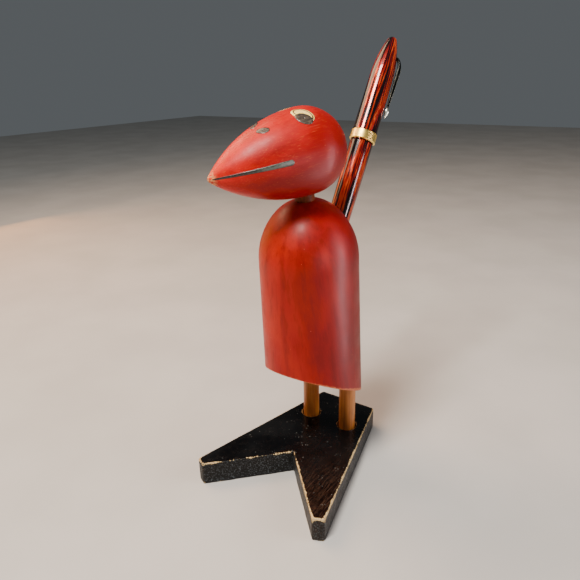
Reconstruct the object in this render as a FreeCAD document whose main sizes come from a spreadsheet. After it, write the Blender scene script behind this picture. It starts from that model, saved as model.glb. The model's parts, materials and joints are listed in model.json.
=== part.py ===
import FreeCAD, Part
import math
import os
import Sketcher

# Turned-wood bird pen holder with the twist pen that stands in its back as a tail.
#
# Frame: millimetres, +Z up, the bird faces -Y and its left side is +X.  The origin is on the
# underside of the foot plate, midway between the two legs.
# Long pieces that lie along a slanted axis are drawn upright and turned by their Placement.

DIMENSIONS = [
    # foot plate: an arrowhead with a straight heel, two toes and a notch
    ("plate_thickness", 9.7),
    ("heel_half_width", 13.4),
    ("heel_setback", 17.3),
    ("toe_outer_half_width", 29.5),
    ("toe_outer_reach", 51.9),
    ("toe_inner_half_width", 25.4),
    ("toe_inner_reach", 53.8),
    ("notch_reach", 27.7),
    ("plate_corner_radius", 1.2),
    ("plate_edge_break", 0.35),
    # legs: two upright dowels in blind holes
    ("leg_half_spacing", 9.0),
    ("leg_diameter", 6.9),
    ("leg_bottom", 2.2),
    ("leg_top", 45.0),
    ("leg_end_chamfer", 0.5),
    ("glue_gap", 0.1),
    ("leg_hole_break", 0.8),
    # body: a bullet turned about an axis that leans forward, cut off on a slant
    ("body_lean", 3.0),
    ("body_axis_setforward", 12.0),
    ("body_axis_height", 30.0),
    ("body_foot_radius", 19.6),
    ("body_shoulder_radius", 18.4),
    ("body_foot_drop", 20.0),
    ("body_shoulder_length", 58.2),
    ("body_crown_length", 80.6),
    ("body_shoulder_arc", 25.5),
    ("skirt_slope", 27.5),
    ("skirt_front_height", 46.5),
    ("skirt_front_setforward", 31.8),
    ("skirt_rim_round", 0.4),
    # neck peg: glued in the body, the head turns on it
    ("neck_lean", 11.0),
    ("neck_setforward", 17.2),
    ("neck_height", 110.4),
    ("neck_diameter", 7.0),
    ("neck_depth_in_body", 12.0),
    ("neck_depth_in_head", 13.0),
    ("neck_end_chamfer", 0.4),
    ("neck_gap", 1.85),
    ("running_gap", 0.05),
    # head: an ogive beak on a half ball
    ("head_turn", -26.0),
    ("head_radius", 14.55),
    ("head_beak_length", 35.1),
    ("head_tip_radius", 1.35),
    ("head_neck_distance", 33.4),
    ("head_flat_radius", 4.7),
    ("head_hole_end_gap", 0.3),
    # pen axis and the socket drilled for it
    ("socket_mouth_y", 3.6),
    ("socket_mouth_z", 93.5),
    ("pen_lean", 28.3),
    ("pen_sideways", 5.85),
    ("pen_seat_depth", 45.0),
    ("socket_radius", 4.95),
    ("socket_length", 75.0),
    ("pilot_radius", 2.5),
    ("pilot_top", 2.85),
    ("pilot_depth", 6.0),
    # pen, measured up its axis from the end of the nose cone
    ("nose_tip_radius", 1.6),
    ("nose_waist_radius", 2.6),
    ("nose_waist_height", 3.5),
    ("nose_shoulder_radius", 3.75),
    ("nose_length", 12.0),
    ("nose_spigot_radius", 3.0),
    ("nose_spigot_length", 5.0),
    ("point_bore_radius", 1.2),
    ("point_bore_length", 3.0),
    ("refill_bore_radius", 1.8),
    ("barrel_nose_radius", 3.95),
    ("barrel_swell_height", 32.0),
    ("barrel_lower_radius", 4.2),
    ("barrel_top_radius", 4.6),
    ("barrel_top", 81.2),
    ("barrel_end_break", 0.25),
    ("seat_gap", 0.05),
    ("barrel_bore_radius", 3.05),
    ("bush_bottom", 72.0),
    ("bush_top", 84.0),
    ("bush_radius", 3.0),
    ("bush_bore_radius", 2.4),
    ("guide_bottom", 76.0),
    ("guide_top", 109.7),
    ("guide_radius", 2.35),
    ("guide_bore_radius", 1.95),
    ("guide_slot_width", 1.1),
    ("guide_slot_bottom", 92.5),
    ("guide_slot_top", 98.5),
    ("sleeve_bottom", 84.6),
    ("sleeve_top", 109.5),
    ("sleeve_radius", 3.65),
    ("sleeve_bore_radius", 3.05),
    ("sleeve_journal_bottom", 105.5),
    ("sleeve_journal_radius", 2.42),
    ("cap_bottom", 81.5),
    ("cap_step_radius", 4.5),
    ("cap_lower_radius", 4.85),
    ("cap_upper_radius", 4.65),
    ("cap_taper_start", 107.0),
    ("cap_tip_radius", 2.0),
    ("cap_top", 124.3),
    ("cap_bore_radius", 3.7),
    ("cap_bore_top", 110.0),
    ("cap_core_radius", 2.5),
    ("cap_core_top", 119.0),
    ("cap_core_chamfer", 1.0),
    ("band_bottom", 81.7),
    ("band_top", 85.5),
    ("band_radius", 5.1),
    ("band_bore_radius", 4.55),
    ("band_edge_break", 0.3),
    ("clip_angle", 35.0),
    ("clip_width", 2.4),
    ("clip_slot_gap", 0.1),
    ("clip_slot_bottom", 115.9),
    ("clip_slot_top", 117.1),
    ("clip_inner_reach", 1.4),
    ("clip_tail_bottom", 113.2),
    ("clip_tail_thickness", 0.5),
    ("clip_stand_off", 5.95),
    ("clip_thickness", 0.7),
    ("clip_elbow", 1.6),
    ("clip_elbow_break", 0.4),
    ("clip_bend_height", 111.5),
    ("clip_tip_reach", 5.6),
    ("clip_bottom", 94.0),
    ("clip_ball_radius", 1.15),
    ("clip_ball_reach", 6.2),
    ("refill_point_radius", 1.1),
    ("refill_ball_radius", 0.35),
    ("refill_point_bottom", 0.6),
    ("refill_point_shoulder", 2.9),
    ("refill_point_top", 9.0),
    ("refill_tube_bottom", 6.0),
    ("refill_tube_top", 89.6),
    ("refill_tube_radius", 1.6),
    ("refill_tube_bore_radius", 1.15),
    ("carrier_bottom", 84.0),
    ("carrier_top", 102.0),
    ("carrier_radius", 1.9),
    ("carrier_bore_radius", 1.65),
    ("carrier_bore_top", 89.6),
    ("pin_height", 97.2),
    ("pin_radius", 0.45),
    ("pin_reach", 2.8),
    ("pin_chamfer", 0.1),
]

# Margins that pick edges out of a shape, in millimetres.
PLANE_MARGIN = 0.01
LEVEL_MARGIN = 1.0
RIM_MARGIN = 2.0

ORIGIN = -1
VERTICAL_AXIS = -2
START, END, CENTRE = 1, 2, 3

doc = FreeCAD.newDocument("bird_pen_holder")
sheet = doc.addObject("Spreadsheet::Sheet", "Dims")
nodes = []


def fill_sheet():
    """Put every driving dimension in the sheet under its alias."""
    for row, (alias, number) in enumerate(DIMENSIONS, start=1):
        sheet.set("A%d" % row, alias)
        sheet.set("B%d" % row, str(number))
        sheet.setAlias("B%d" % row, alias)
    doc.recompute()


def dim(alias):
    """A driving dimension as a plain number."""
    return float(sheet.get(alias))


def value(expression):
    """The number that an expression over the sheet gives."""
    return float(sheet.evalExpression(expression))


def qualified(expression):
    """The same expression as another object writes it."""
    words = expression.replace("(", "( ").replace(")", " )").split(" ")
    aliases = [alias for alias, _ in DIMENSIONS]
    return " ".join("Dims." + word if word in aliases else word for word in words)


def vector(x, y, z):
    return FreeCAD.Vector(x, y, z)


def bind(thing, field, expression):
    thing.setExpression(field, qualified(expression))


# ---------------------------------------------------------------- frames of the slanted pieces

def body_placement():
    """The bullet's own axis: it leans forward about the point at body_axis_height."""
    turn = FreeCAD.Rotation(vector(1, 0, 0), dim("body_lean"))
    return FreeCAD.Placement(vector(0, -dim("body_axis_setforward"), dim("body_axis_height")), turn)


def neck_direction():
    lean = math.radians(dim("neck_lean"))
    return vector(0, -math.sin(lean), math.cos(lean))


def neck_point():
    """Where the neck axis meets the crown of the body."""
    return vector(0, -dim("neck_setforward"), dim("neck_height"))


def neck_placement(distance):
    """A frame on the neck axis, the given distance above the crown."""
    point = neck_point() + neck_direction() * distance
    return FreeCAD.Placement(point, FreeCAD.Rotation(vector(0, 0, 1), neck_direction()))


def head_placement():
    """The head's own axis runs from the beak's tip to the back of the head."""
    lean = math.radians(dim("neck_lean"))
    straight = vector(0, -math.cos(lean), -math.sin(lean))
    turn = FreeCAD.Rotation(neck_direction(), dim("head_turn"))
    beak = turn.multVec(straight)
    crossing = neck_point() + neck_direction() * (dim("head_radius") + dim("neck_gap"))
    tip = crossing + beak * dim("head_neck_distance")
    return FreeCAD.Placement(tip, FreeCAD.Rotation(vector(0, 0, 1), beak * -1))


def pen_direction():
    lean = math.radians(dim("pen_lean"))
    side = math.radians(dim("pen_sideways"))
    level = vector(math.sin(side), math.cos(side), 0)
    return level * math.sin(lean) + vector(0, 0, 1) * math.cos(lean)


def pen_placement():
    """Height zero is the end of the nose cone, and local X is the side that carries the clip."""
    up = pen_direction()
    mouth = vector(0, dim("socket_mouth_y"), dim("socket_mouth_z"))
    level = math.radians(dim("clip_angle"))
    side = vector(math.cos(level), math.sin(level), 0)
    side = (side - up * side.dot(up)).normalize()
    turn = FreeCAD.Rotation(side, up.cross(side), up, "ZXY")
    return FreeCAD.Placement(mouth - up * dim("pen_seat_depth"), turn)


# ---------------------------------------------------------------- drawing helpers

def new_body(name):
    return doc.addObject("PartDesign::Body", name)


def new_sketch(body, role, name):
    """A sketch on one of the body's own origin planes."""
    plane = [feature for feature in body.Origin.OriginFeatures if feature.Role == role][0]
    sketch = body.newObject("Sketcher::SketchObject", name)
    sketch.AttachmentSupport = (plane, [""])
    sketch.MapMode = "FlatFace"
    return sketch


def arc_between(start, end, radius):
    """The short arc from start to end; a positive radius turns left, a negative one right."""
    chord = end - start
    left = vector(-chord.y, chord.x, 0).normalize()
    offset = math.sqrt(radius * radius - chord.Length * chord.Length / 4)
    centre = (start + end) * 0.5 + left * math.copysign(offset, radius)
    circle = Part.Circle(centre, vector(0, 0, 1), abs(radius))
    first, last = (start, end) if radius > 0 else (end, start)
    angles = [math.atan2(point.y - centre.y, point.x - centre.x) for point in (first, last)]
    return Part.ArcOfCircle(circle, angles[0], angles[1])


def pin_corner(sketch, side, vertex, x, y):
    """Hold one corner at the place that its two expressions give."""
    if x == "0" and y == "0":
        sketch.addConstraint(Sketcher.Constraint("Coincident", side, vertex, ORIGIN, START))
        return
    for kind, expression, axis in (("DistanceX", x, VERTICAL_AXIS), ("DistanceY", y, ORIGIN)):
        number = value(expression)
        if expression == "0":
            index = sketch.addConstraint(Sketcher.Constraint("PointOnObject", side, vertex, axis))
        elif number > 0:
            index = sketch.addConstraint(Sketcher.Constraint(kind, ORIGIN, START, side, vertex, number))
            bind(sketch, "Constraints[%d]" % index, expression)
        else:
            index = sketch.addConstraint(Sketcher.Constraint(kind, side, vertex, ORIGIN, START, -number))
            bind(sketch, "Constraints[%d]" % index, "-1 * ( %s )" % expression)


def polygon(sketch, corners):
    """A closed outline of straight sides through corners given as pairs of expressions."""
    points = [vector(value(x), value(y), 0) for x, y in corners]
    count = len(points)
    for index in range(count):
        sketch.addGeometry(Part.LineSegment(points[index], points[(index + 1) % count]), False)
    for index in range(count):
        before = (index - 1) % count
        sketch.addConstraint(Sketcher.Constraint("Coincident", before, END, index, START))
        pin_corner(sketch, index, START, *corners[index])


def revolve(body, sketch, name):
    """Turn a half outline once about the sketch's vertical axis."""
    turned = body.newObject("PartDesign::Revolution", name)
    turned.Profile = sketch
    turned.ReferenceAxis = (sketch, ["V_Axis"])
    turned.Angle = 360
    sketch.Visibility = False
    return turned


def turned_piece(name, corners, placement):
    """A piece turned on a lathe: its half section is a polygon of radius and height."""
    body = new_body(name)
    sketch = new_sketch(body, "XZ_Plane", name + "_section")
    polygon(sketch, corners)
    revolve(body, sketch, name + "_turned")
    body.Placement = placement
    return body


def tube(bottom, top, outer, inner):
    """The half section of a plain tube."""
    return [(inner, bottom), (outer, bottom), (outer, top), (inner, top)]


def rod(bottom, top, radius, chamfer):
    """The half section of a round bar with both ends broken."""
    slim = "%s - %s" % (radius, chamfer)
    return [
        ("0", bottom), (slim, bottom), (radius, "%s + %s" % (bottom, chamfer)),
        (radius, "%s - %s" % (top, chamfer)), (slim, top), ("0", top),
    ]


def cylinder(name, radius, height, placement):
    tool = doc.addObject("Part::Cylinder", name)
    bind(tool, "Radius", radius)
    bind(tool, "Height", height)
    tool.Placement = placement
    return tool


def cut(name, base, tools):
    """Base less all the tools, as one boolean."""
    merged = tools[0]
    if len(tools) > 1:
        merged = doc.addObject("Part::MultiFuse", name + "_tools")
        merged.Shapes = tools
    piece = doc.addObject("Part::Cut", name + "_cut")
    piece.Base = base
    piece.Tool = merged
    return piece


def keep(piece, label):
    """Name the finished piece; its label is its node and its file."""
    piece.Label = label
    nodes.append(piece)
    return piece


# ---------------------------------------------------------------- the bird

def build_base_plate():
    """Arrowhead foot plate with two blind leg holes, its edges and hole mouths broken."""
    body = new_body("plate")
    outline = new_sketch(body, "XY_Plane", "plate_outline")
    corners = [
        ("-1 * heel_half_width", "heel_setback"),
        ("-1 * toe_outer_half_width", "-1 * toe_outer_reach"),
        ("-1 * toe_inner_half_width", "-1 * toe_inner_reach"),
        ("0", "-1 * notch_reach"),
        ("toe_inner_half_width", "-1 * toe_inner_reach"),
        ("toe_outer_half_width", "-1 * toe_outer_reach"),
        ("heel_half_width", "heel_setback"),
    ]
    polygon(outline, corners)
    slab = body.newObject("PartDesign::Pad", "plate_slab")
    slab.Profile = outline
    bind(slab, "Length", "plate_thickness")
    doc.recompute()
    upright = [
        "Edge%d" % (number + 1) for number, edge in enumerate(slab.Shape.Edges)
        if abs(edge.Vertexes[0].Z - edge.Vertexes[-1].Z) > LEVEL_MARGIN
        and abs(edge.Vertexes[0].X) > LEVEL_MARGIN
    ]
    rounded = body.newObject("PartDesign::Fillet", "plate_corners")
    rounded.Base = (slab, upright)
    bind(rounded, "Radius", "plate_corner_radius")
    doc.recompute()
    top = [
        "Edge%d" % (number + 1) for number, edge in enumerate(rounded.Shape.Edges)
        if edge.BoundBox.ZMin > dim("plate_thickness") - PLANE_MARGIN
    ]
    broken = body.newObject("PartDesign::Chamfer", "plate_edge_break")
    broken.Base = (rounded, top)
    bind(broken, "Size", "plate_edge_break")
    doc.recompute()
    tools = []
    for side, name in ((-1, "right"), (1, "left")):
        spot = vector(side * dim("leg_half_spacing"), 0, dim("leg_bottom"))
        hole = cylinder("plate_hole_" + name, "leg_diameter / 2 + glue_gap", "plate_thickness",
                        FreeCAD.Placement(spot, FreeCAD.Rotation()))
        mouth = doc.addObject("Part::Cone", "plate_hole_mouth_" + name)
        bind(mouth, "Radius1", "leg_diameter / 2 + glue_gap")
        bind(mouth, "Radius2", "leg_diameter / 2 + glue_gap + leg_hole_break")
        bind(mouth, "Height", "leg_hole_break")
        spot = vector(side * dim("leg_half_spacing"), 0, dim("plate_thickness") - dim("leg_hole_break"))
        mouth.Placement = FreeCAD.Placement(spot, FreeCAD.Rotation())
        tools += [hole, mouth]
    keep(cut("base_plate", body, tools), "base_plate")


def build_legs():
    """Two dowels that stand in the plate and in the body."""
    section = rod("0", "leg_top - leg_bottom", "leg_diameter / 2", "leg_end_chamfer")
    for side, name in ((-1, "right_leg"), (1, "left_leg")):
        spot = vector(side * dim("leg_half_spacing"), 0, dim("leg_bottom"))
        keep(turned_piece(name, section, FreeCAD.Placement(spot, FreeCAD.Rotation())), name)


def bullet_sketch(body):
    """Half outline of the bullet: a tapering wall, a shoulder arc and a crown arc."""
    sketch = new_sketch(body, "XZ_Plane", "bullet_section")
    foot = vector(dim("body_foot_radius"), -dim("body_foot_drop"), 0)
    shoulder = vector(dim("body_shoulder_radius"), dim("body_shoulder_length"), 0)
    apex = vector(0, dim("body_crown_length"), 0)
    axis_foot = vector(0, foot.y, 0)
    bulge = dim("body_shoulder_arc")
    inset = bulge - shoulder.x
    rise = apex.y - shoulder.y
    lift = (rise * rise - bulge * bulge + inset * inset + 2 * rise * (bulge - rise)) / (2 * (bulge - rise))
    crown = rise - lift
    leaning = math.atan2(lift, inset)
    join = vector(crown * math.cos(leaning), shoulder.y + lift + crown * math.sin(leaning), 0)
    wall = sketch.addGeometry(Part.LineSegment(foot, shoulder), False)
    side = sketch.addGeometry(arc_between(shoulder, join, bulge), False)
    top = sketch.addGeometry(arc_between(join, apex, crown), False)
    spine = sketch.addGeometry(Part.LineSegment(apex, axis_foot), False)
    floor = sketch.addGeometry(Part.LineSegment(axis_foot, foot), False)
    pin_corner(sketch, wall, START, "body_foot_radius", "-1 * body_foot_drop")
    pin_corner(sketch, wall, END, "body_shoulder_radius", "body_shoulder_length")
    pin_corner(sketch, spine, START, "0", "body_crown_length")
    pin_corner(sketch, spine, END, "0", "-1 * body_foot_drop")
    sketch.addConstraint(Sketcher.Constraint("Coincident", wall, END, side, START))
    sketch.addConstraint(Sketcher.Constraint("Tangent", side, END, top, START))
    sketch.addConstraint(Sketcher.Constraint("Coincident", top, END, spine, START))
    sketch.addConstraint(Sketcher.Constraint("Coincident", spine, END, floor, START))
    sketch.addConstraint(Sketcher.Constraint("Coincident", floor, END, wall, START))
    sketch.addConstraint(Sketcher.Constraint("Horizontal", side, CENTRE, side, START))
    sketch.addConstraint(Sketcher.Constraint("PointOnObject", top, CENTRE, VERTICAL_AXIS))
    index = sketch.addConstraint(Sketcher.Constraint("Radius", side, bulge))
    bind(sketch, "Constraints[%d]" % index, "body_shoulder_arc")
    return sketch


def skirt_tool():
    """A block whose top face is the slanted cut under the body, lowest at the tail."""
    size = 4 * dim("body_foot_radius")
    block = doc.addObject("Part::Box", "skirt_block")
    for field in ("Length", "Width", "Height"):
        bind(block, field, "4 * body_foot_radius")
    slope = FreeCAD.Rotation(vector(1, 0, 0), -dim("skirt_slope"))
    edge = vector(0, -dim("skirt_front_setforward"), dim("skirt_front_height"))
    corner = edge - slope.multVec(vector(size / 2, size / 4, size))
    block.Placement = FreeCAD.Placement(corner, slope)
    return block


def socket_tools():
    """The angled pen socket: a wide bore with a pilot hole that seats the nose cone."""
    place = pen_placement()
    bore_foot = FreeCAD.Placement(vector(0, 0, dim("pilot_top")), FreeCAD.Rotation())
    wide = cylinder("socket_bore", "socket_radius", "socket_length", place.multiply(bore_foot))
    pilot_foot = FreeCAD.Placement(vector(0, 0, -dim("pilot_depth")), FreeCAD.Rotation())
    pilot = cylinder("socket_pilot", "pilot_radius", "pilot_depth + 2 * pilot_top",
                     place.multiply(pilot_foot))
    return [wide, pilot]


def build_body():
    """The bullet, cut off on a slant and drilled for the legs, the neck peg and the pen."""
    body = new_body("bullet")
    revolve(body, bullet_sketch(body), "bullet_turned")
    body.Placement = body_placement()
    skirted = cut("skirted_body", body, [skirt_tool()])
    doc.recompute()
    rim = [
        number + 1 for number, edge in enumerate(skirted.Shape.Edges)
        if edge.Length > 2 * dim("body_foot_radius")
        and edge.BoundBox.ZMax < dim("skirt_front_height") + RIM_MARGIN
        and edge.BoundBox.XLength > dim("body_foot_radius")
    ]
    softened = doc.addObject("Part::Fillet", "body_rim_round")
    softened.Base = skirted
    softened.Edges = [(number, dim("skirt_rim_round"), dim("skirt_rim_round")) for number in rim]
    tools = socket_tools()
    tools.append(cylinder("body_neck_hole", "neck_diameter / 2 + running_gap",
                          "neck_depth_in_body + neck_diameter", neck_placement(-dim("neck_depth_in_body"))))
    for side, name in ((-1, "right"), (1, "left")):
        spot = vector(side * dim("leg_half_spacing"), 0, 0)
        tools.append(cylinder("body_leg_hole_" + name, "leg_diameter / 2 + glue_gap", "leg_top",
                              FreeCAD.Placement(spot, FreeCAD.Rotation())))
    keep(cut("body", softened, tools), "body")


def build_neck_peg():
    """The peg between body and head."""
    length = "neck_depth_in_body + neck_gap + neck_depth_in_head"
    section = rod("0", length, "neck_diameter / 2", "neck_end_chamfer")
    keep(turned_piece("neck_peg", section, neck_placement(-dim("neck_depth_in_body"))), "neck_peg")


def head_sketch(body):
    """Half outline of the head: a small round tip, an ogive and a quarter circle."""
    sketch = new_sketch(body, "XZ_Plane", "head_section")
    radius = dim("head_radius")
    reach = dim("head_beak_length")
    nib = dim("head_tip_radius")
    ogive = (radius * radius + reach * (reach - 2 * nib)) / (2 * (radius - nib))
    along = math.atan2(reach - nib, ogive - radius)
    join = vector(nib * math.cos(along), nib - nib * math.sin(along), 0)
    widest = vector(radius, reach, 0)
    back = vector(0, reach + radius, 0)
    tip = sketch.addGeometry(arc_between(vector(0, 0, 0), join, nib), False)
    beak = sketch.addGeometry(arc_between(join, widest, ogive), False)
    skull = sketch.addGeometry(arc_between(widest, back, radius), False)
    spine = sketch.addGeometry(Part.LineSegment(back, vector(0, 0, 0)), False)
    pin_corner(sketch, spine, END, "0", "0")
    pin_corner(sketch, spine, START, "0", "head_beak_length + head_radius")
    pin_corner(sketch, beak, END, "head_radius", "head_beak_length")
    sketch.addConstraint(Sketcher.Constraint("Coincident", spine, END, tip, START))
    sketch.addConstraint(Sketcher.Constraint("Tangent", tip, END, beak, START))
    sketch.addConstraint(Sketcher.Constraint("Coincident", beak, END, skull, START))
    sketch.addConstraint(Sketcher.Constraint("Coincident", skull, END, spine, START))
    sketch.addConstraint(Sketcher.Constraint("PointOnObject", tip, CENTRE, VERTICAL_AXIS))
    sketch.addConstraint(Sketcher.Constraint("Horizontal", beak, CENTRE, beak, END))
    sketch.addConstraint(Sketcher.Constraint("PointOnObject", skull, CENTRE, VERTICAL_AXIS))
    index = sketch.addConstraint(Sketcher.Constraint("Radius", tip, nib))
    bind(sketch, "Constraints[%d]" % index, "head_tip_radius")
    return sketch


def build_head():
    """The head, with a small flat underneath and the hole that turns on the neck peg."""
    body = new_body("turned_head")
    revolve(body, head_sketch(body), "head_turned")
    body.Placement = head_placement()
    sagitta = dim("head_radius") - math.sqrt(dim("head_radius") ** 2 - dim("head_flat_radius") ** 2)
    hole = cylinder("head_neck_hole", "neck_diameter / 2 + running_gap",
                    "neck_depth_in_head + neck_gap + head_hole_end_gap", neck_placement(0))
    flat = cylinder("head_flat", "head_radius", "head_radius",
                    neck_placement(dim("neck_gap") + sagitta - dim("head_radius")))
    keep(cut("head", body, [hole, flat]), "head")


# ---------------------------------------------------------------- the pen: lower half

def build_lower_half():
    """Barrel, nose cone, threaded bush and slotted guide tube: the half that stays still."""
    place = pen_placement()
    barrel = [
        ("barrel_bore_radius", "nose_length + seat_gap"),
        ("barrel_nose_radius - barrel_end_break", "nose_length + seat_gap"),
        ("barrel_nose_radius", "nose_length + seat_gap + barrel_end_break"),
        ("barrel_lower_radius", "barrel_swell_height"),
        ("barrel_top_radius", "barrel_top - barrel_end_break"),
        ("barrel_top_radius - barrel_end_break", "barrel_top"),
        ("barrel_bore_radius", "barrel_top"),
    ]
    keep(turned_piece("lower_barrel", barrel, place), "lower_barrel")
    spigot_top = "nose_length + nose_spigot_length"
    nose = [
        ("point_bore_radius", "0"), ("nose_tip_radius", "0"), ("nose_waist_radius", "nose_waist_height"),
        ("nose_shoulder_radius", "nose_length"), ("nose_spigot_radius", "nose_length"),
        ("nose_spigot_radius", spigot_top), ("refill_bore_radius", spigot_top),
        ("refill_bore_radius", "point_bore_length"), ("point_bore_radius", "point_bore_length"),
    ]
    keep(turned_piece("nose_cone", nose, place), "nose_cone")
    bush = tube("bush_bottom", "bush_top", "bush_radius", "bush_bore_radius")
    keep(turned_piece("coupling_bush", bush, place), "coupling_bush")
    guide_section = tube("guide_bottom", "guide_top", "guide_radius", "guide_bore_radius")
    guide = turned_piece("guide", guide_section, place)
    slot = doc.addObject("Part::Box", "guide_slot")
    bind(slot, "Length", "4 * guide_radius")
    bind(slot, "Width", "guide_slot_width")
    bind(slot, "Height", "guide_slot_top - guide_slot_bottom")
    corner = vector(-2 * dim("guide_radius"), -dim("guide_slot_width") / 2, dim("guide_slot_bottom"))
    slot.Placement = place.multiply(FreeCAD.Placement(corner, FreeCAD.Rotation()))
    keep(cut("guide_tube", guide, [slot]), "guide_tube")


# ---------------------------------------------------------------- the pen: refill

def build_refill():
    """Refill, and the carrier and cross pin that drive it along the slots."""
    place = pen_placement()
    point = [
        ("0", "refill_point_bottom"), ("refill_ball_radius", "refill_point_bottom"),
        ("refill_point_radius", "refill_point_shoulder"), ("refill_point_radius", "refill_point_top"),
        ("0", "refill_point_top"),
    ]
    keep(turned_piece("refill_point", point, place), "refill_point")
    ink = tube("refill_tube_bottom", "refill_tube_top", "refill_tube_radius", "refill_tube_bore_radius")
    keep(turned_piece("refill_tube", ink, place), "refill_tube")
    carrier = [
        ("carrier_bore_radius", "carrier_bottom"), ("carrier_radius", "carrier_bottom"),
        ("carrier_radius", "carrier_top"), ("0", "carrier_top"),
        ("0", "carrier_bore_top"), ("carrier_bore_radius", "carrier_bore_top"),
    ]
    turned = turned_piece("carrier", carrier, place)
    across = FreeCAD.Rotation(vector(0, 1, 0), 90)
    spot = vector(-dim("pin_reach"), 0, dim("pin_height"))
    hole = cylinder("carrier_pin_hole", "pin_radius + running_gap", "2 * pin_reach",
                    place.multiply(FreeCAD.Placement(spot, across)))
    keep(cut("refill_carrier", turned, [hole]), "refill_carrier")
    pin = turned_piece("carrier_pin", rod("0", "2 * pin_reach", "pin_radius", "pin_chamfer"),
                       place.multiply(FreeCAD.Placement(spot, across)))
    keep(pin, "carrier_pin")


# ---------------------------------------------------------------- the pen: upper half

def cap_section_sketch(body):
    """Half section of the upper barrel: a slight taper, then an ogive to a small round end."""
    sketch = new_sketch(body, "XZ_Plane", "cap_section")
    lower = vector(dim("cap_lower_radius"), dim("band_top"), 0)
    waist = vector(dim("cap_upper_radius"), dim("cap_taper_start"), 0)
    nib = dim("cap_tip_radius")
    length = dim("cap_top") - dim("cap_taper_start")
    ogive = (waist.x ** 2 + length * (length - 2 * nib)) / (2 * (waist.x - nib))
    along = math.atan2(length - nib, ogive - waist.x)
    join = vector(nib * math.cos(along), dim("cap_top") - nib + nib * math.sin(along), 0)
    apex = vector(0, dim("cap_top"), 0)
    straight = [
        ("cap_step_radius", "cap_bottom"), ("cap_step_radius", "band_top"),
        ("cap_lower_radius", "band_top"), ("cap_upper_radius", "cap_taper_start"),
    ]
    points = [vector(value(x), value(y), 0) for x, y in straight]
    for index in range(len(points) - 1):
        sketch.addGeometry(Part.LineSegment(points[index], points[index + 1]), False)
        pin_corner(sketch, index, START, *straight[index])
        if index:
            sketch.addConstraint(Sketcher.Constraint("Coincident", index - 1, END, index, START))
    wall = len(points) - 2
    pin_corner(sketch, wall, END, *straight[-1])
    ogive_side = sketch.addGeometry(arc_between(waist, join, ogive), False)
    tip = sketch.addGeometry(arc_between(join, apex, nib), False)
    inside = [
        ("0", "cap_top"), ("0", "cap_core_top"), ("cap_core_radius", "cap_core_top - cap_core_chamfer"),
        ("cap_core_radius", "cap_bore_top"), ("cap_bore_radius", "cap_bore_top"),
        ("cap_bore_radius", "cap_bottom"), ("cap_step_radius", "cap_bottom"),
    ]
    points = [vector(value(x), value(y), 0) for x, y in inside]
    first = tip + 1
    for index in range(len(points) - 1):
        sketch.addGeometry(Part.LineSegment(points[index], points[index + 1]), False)
        pin_corner(sketch, first + index, START, *inside[index])
        if index:
            join_sides = Sketcher.Constraint("Coincident", first + index - 1, END, first + index, START)
            sketch.addConstraint(join_sides)
    last = first + len(points) - 2
    sketch.addConstraint(Sketcher.Constraint("Coincident", last, END, 0, START))
    sketch.addConstraint(Sketcher.Constraint("Coincident", wall, END, ogive_side, START))
    sketch.addConstraint(Sketcher.Constraint("Horizontal", ogive_side, CENTRE, ogive_side, START))
    sketch.addConstraint(Sketcher.Constraint("Tangent", ogive_side, END, tip, START))
    sketch.addConstraint(Sketcher.Constraint("Coincident", tip, END, first, START))
    sketch.addConstraint(Sketcher.Constraint("PointOnObject", tip, CENTRE, VERTICAL_AXIS))
    index = sketch.addConstraint(Sketcher.Constraint("Radius", tip, nib))
    bind(sketch, "Constraints[%d]" % index, "cap_tip_radius")
    return sketch


def clip_box(name, inner, outer, bottom, top, gap):
    """A block on the clip's side of the pen, between two radii and two heights."""
    block = doc.addObject("Part::Box", name)
    bind(block, "Length", "%s - %s" % (outer, inner))
    bind(block, "Width", "clip_width + 2 * %s" % gap)
    bind(block, "Height", "%s - %s" % (top, bottom))
    corner = vector(value(inner), -value("clip_width / 2 + %s" % gap), value(bottom))
    block.Placement = pen_placement().multiply(FreeCAD.Placement(corner, FreeCAD.Rotation()))
    return block


def build_clip():
    """Spring strip: it enters the cap by a slot, stands off, and ends in a ball."""
    place = pen_placement()
    body = new_body("clip_strip")
    sketch = new_sketch(body, "XZ_Plane", "clip_side")
    corners = [
        ("clip_inner_reach", "clip_tail_bottom"),
        ("clip_inner_reach + clip_tail_thickness", "clip_tail_bottom"),
        ("clip_inner_reach + clip_tail_thickness", "clip_slot_top - clip_slot_gap - clip_thickness"),
        ("clip_stand_off - clip_elbow", "clip_slot_top - clip_slot_gap - clip_thickness"),
        ("clip_stand_off", "clip_bend_height"),
        ("clip_tip_reach", "clip_bottom"),
        ("clip_tip_reach + clip_thickness", "clip_bottom"),
        ("clip_stand_off + clip_thickness", "clip_bend_height"),
        ("clip_stand_off - clip_elbow + clip_thickness",
         "clip_slot_top - clip_slot_gap - clip_elbow_break"),
        ("clip_stand_off - clip_elbow", "clip_slot_top - clip_slot_gap"),
        ("clip_inner_reach", "clip_slot_top - clip_slot_gap"),
    ]
    polygon(sketch, corners)
    strip = body.newObject("PartDesign::Pad", "clip_strip_pad")
    strip.Profile = sketch
    bind(strip, "Length", "clip_width")
    strip.Midplane = True
    body.Placement = place
    ball = doc.addObject("Part::Sphere", "clip_ball")
    bind(ball, "Radius", "clip_ball_radius")
    centre = vector(dim("clip_ball_reach"), 0, dim("clip_bottom"))
    ball.Placement = place.multiply(FreeCAD.Placement(centre, FreeCAD.Rotation()))
    clip = doc.addObject("Part::MultiFuse", "clip_fused")
    clip.Shapes = [body, ball]
    keep(clip, "clip")


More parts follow.
